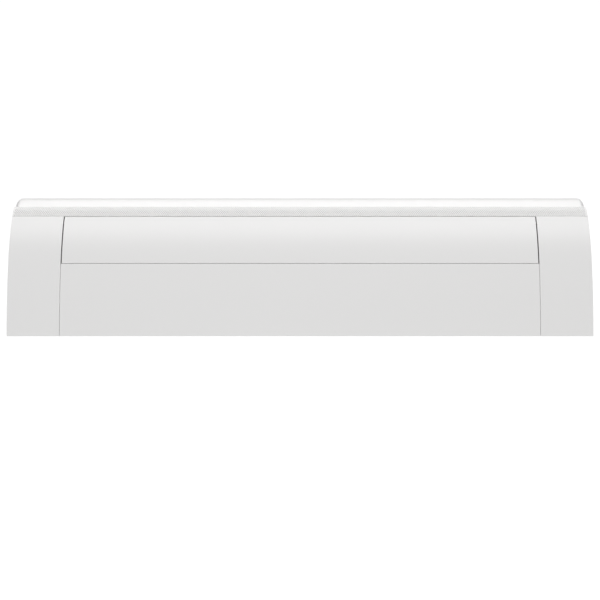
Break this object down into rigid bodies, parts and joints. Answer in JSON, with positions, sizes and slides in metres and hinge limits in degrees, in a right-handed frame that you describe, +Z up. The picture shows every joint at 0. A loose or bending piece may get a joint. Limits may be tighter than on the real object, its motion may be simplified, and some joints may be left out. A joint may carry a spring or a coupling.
{
  "type": "baseboard heater",
  "caption": "Long, low wall-hung fan-assisted heater: curved white casing with a swinging outlet flap, vanes, drum fan, water coil and drop-down intake grille.",
  "frame": {"origin": "on the wall plate's rear face, half way along the casing and level with the casing's bottom edge", "axes": "+X along the casing, +Y into the wall, -Y into the room, +Z up"},
  "size_m": [0.99, 0.2, 0.24],
  "materials": {
    "galvanised_steel": "galvanised sheet",
    "grey_moulding": "matte",
    "white_shell": "satin",
    "white_strip": "satin",
    "dark_moulding": "matte",
    "fin_aluminium": "plain rolled",
    "copper_pipe": "drawn copper",
    "brass_fitting": "turned",
    "fan_plastic": "matte",
    "turned_steel": "turned",
    "black_rubber": "matte",
    "motor_shell": "satin",
    "white_acetal": "matte",
    "filter_cloth": "fine mesh",
    "circuit_laminate": "satin",
    "component_black": "matte",
    "terminal_green": "matte",
    "black_gland": "matte",
    "zinc_screw": "zinc plated"
  },
  "bodies": {
    "casing": {"air_bleed": "brass_fitting", "back_plate": "galvanised_steel", "board_components": "component_black", "button_switch": "component_black", "cable_gland": "black_gland", "chassis_screws": "zinc_screw", "circuit_board": "circuit_laminate", "coil_end_plates": "galvanised_steel", "coil_fins": "fin_aluminium", "coil_tubes": "copper_pipe", "control_box": "grey_moulding", "control_box_lid": "grey_moulding", "fan_bearing": "black_rubber", "fan_motor": "motor_shell", "flap_motor": "motor_shell", "flap_motor_posts": "brass_fitting", "front_panel": "white_shell", "front_tongue": "dark_moulding", "left_bulkhead": "grey_moulding", "left_end_cover": "white_shell", "motor_cup": "galvanised_steel", "motor_mount_ring": "black_rubber", "perforated_strip": "white_strip", "return_pipe": "copper_pipe", "return_union": "brass_fitting", "right_bulkhead": "grey_moulding", "right_end_cover": "white_shell", "scroll_housing": "dark_moulding", "shaft_seal": "black_rubber", "supply_pipe": "copper_pipe", "supply_union": "brass_fitting", "terminal_block": "terminal_green", "top_cover": "white_shell", "vane_motor": "motor_shell", "wall_bracket": "galvanised_steel"},
    "fan": {"fan_rotor": "fan_plastic", "fan_stub_shaft": "turned_steel", "motor_shaft": "turned_steel"},
    "flap": {"flap_skin": "white_shell", "flap_liner": "white_shell", "flap_pins": "turned_steel", "flap_crank": "white_acetal"},
    "motor_crank": {"motor_crank": "white_acetal"},
    "drive_link": {"drive_link": "white_acetal"},
    "vane_link": {"vane_link": "dark_moulding"},
    "intake_door": {"intake_grille": "white_shell", "door_pins": "turned_steel", "door_latches": "white_acetal", "filter_frame": "dark_moulding", "filter_mesh": "filter_cloth"},
    "mode_button": {"mode_button": "white_shell"},
    "vane_01": {"vane_01": "dark_moulding"},
    "vane_02": {"vane_02": "dark_moulding"},
    "vane_03": {"vane_03": "dark_moulding"},
    "vane_04": {"vane_04": "dark_moulding"},
    "vane_05": {"vane_05": "dark_moulding"},
    "vane_06": {"vane_06": "dark_moulding"},
    "vane_07": {"vane_07": "dark_moulding"},
    "vane_08": {"vane_08": "dark_moulding"},
    "vane_09": {"vane_09": "dark_moulding"}
  },
  "joints": [
    {"name": "fan_spin", "type": "hinge", "parent": "casing", "child": "fan", "pos_m": [0, -0.07712, 0.12519], "axis": [1, 0, 0], "continuous": true},
    {"name": "flap_hinge", "type": "hinge", "parent": "casing", "child": "flap", "pos_m": [0, -0.15162, 0.19348], "axis": [-1, 0, 0], "range_deg": [0, 75]},
    {"name": "motor_crank_turn", "type": "hinge", "parent": "casing", "child": "motor_crank", "pos_m": [0.4108, -0.13725, 0.16267], "axis": [-1, 0, 0], "range_deg": [0, 75]},
    {"name": "drive_link_turn", "type": "hinge", "parent": "flap", "child": "drive_link", "pos_m": [0.4131, -0.1421, 0.20078], "axis": [-1, 0, 0], "range_deg": [-75, 0]},
    {"name": "intake_door_hinge", "type": "hinge", "parent": "casing", "child": "intake_door", "pos_m": [0, -0.014, 0.006], "axis": [1, 0, 0], "range_deg": [0, 40]},
    {"name": "mode_button_press", "type": "slide", "parent": "casing", "child": "mode_button", "axis": [0, 0, 1], "range_m": [0, 0.0015], "stiffness_N_per_m": 400, "springref_m": -0.0005},
    {"name": "vane_01_swing", "type": "hinge", "parent": "casing", "child": "vane_01", "pos_m": [-0.344, -0.13382, 0.1448], "axis": [0, 0.3268, 0.9451], "range_deg": [-35, 35]},
    {"name": "vane_02_swing", "type": "hinge", "parent": "casing", "child": "vane_02", "pos_m": [-0.258, -0.13382, 0.1448], "axis": [0, 0.3268, 0.9451], "range_deg": [-35, 35]},
    {"name": "vane_03_swing", "type": "hinge", "parent": "casing", "child": "vane_03", "pos_m": [-0.172, -0.13382, 0.1448], "axis": [0, 0.3268, 0.9451], "range_deg": [-35, 35]},
    {"name": "vane_04_swing", "type": "hinge", "parent": "casing", "child": "vane_04", "pos_m": [-0.086, -0.13382, 0.1448], "axis": [0, 0.3268, 0.9451], "range_deg": [-35, 35]},
    {"name": "vane_05_swing", "type": "hinge", "parent": "casing", "child": "vane_05", "pos_m": [0, -0.13382, 0.1448], "axis": [0, 0.3268, 0.9451], "range_deg": [-35, 35]},
    {"name": "vane_06_swing", "type": "hinge", "parent": "casing", "child": "vane_06", "pos_m": [0.086, -0.13382, 0.1448], "axis": [0, 0.3268, 0.9451], "range_deg": [-35, 35]},
    {"name": "vane_07_swing", "type": "hinge", "parent": "casing", "child": "vane_07", "pos_m": [0.172, -0.13382, 0.1448], "axis": [0, 0.3268, 0.9451], "range_deg": [-35, 35]},
    {"name": "vane_08_swing", "type": "hinge", "parent": "casing", "child": "vane_08", "pos_m": [0.258, -0.13382, 0.1448], "axis": [0, 0.3268, 0.9451], "range_deg": [-35, 35]},
    {"name": "vane_09_swing", "type": "hinge", "parent": "casing", "child": "vane_09", "pos_m": [0.344, -0.13382, 0.1448], "axis": [0, 0.3268, 0.9451], "range_deg": [-35, 35]},
    {"name": "vane_link_turn", "type": "hinge", "parent": "vane_01", "child": "vane_link", "pos_m": [-0.344, -0.12343, 0.1412], "axis": [0, 0.3268, 0.9451], "range_deg": [-35, 35]}
  ],
  "couplings": [
    {"joint": "motor_crank_turn", "follows": "flap_hinge", "ratio": 1},
    {"joint": "drive_link_turn", "follows": "flap_hinge", "ratio": -1},
    {"joint": "vane_02_swing", "follows": "vane_01_swing", "ratio": 1},
    {"joint": "vane_03_swing", "follows": "vane_01_swing", "ratio": 1},
    {"joint": "vane_04_swing", "follows": "vane_01_swing", "ratio": 1},
    {"joint": "vane_05_swing", "follows": "vane_01_swing", "ratio": 1},
    {"joint": "vane_06_swing", "follows": "vane_01_swing", "ratio": 1},
    {"joint": "vane_07_swing", "follows": "vane_01_swing", "ratio": 1},
    {"joint": "vane_08_swing", "follows": "vane_01_swing", "ratio": 1},
    {"joint": "vane_09_swing", "follows": "vane_01_swing", "ratio": 1},
    {"joint": "vane_link_turn", "follows": "vane_01_swing", "ratio": -1}
  ]
}
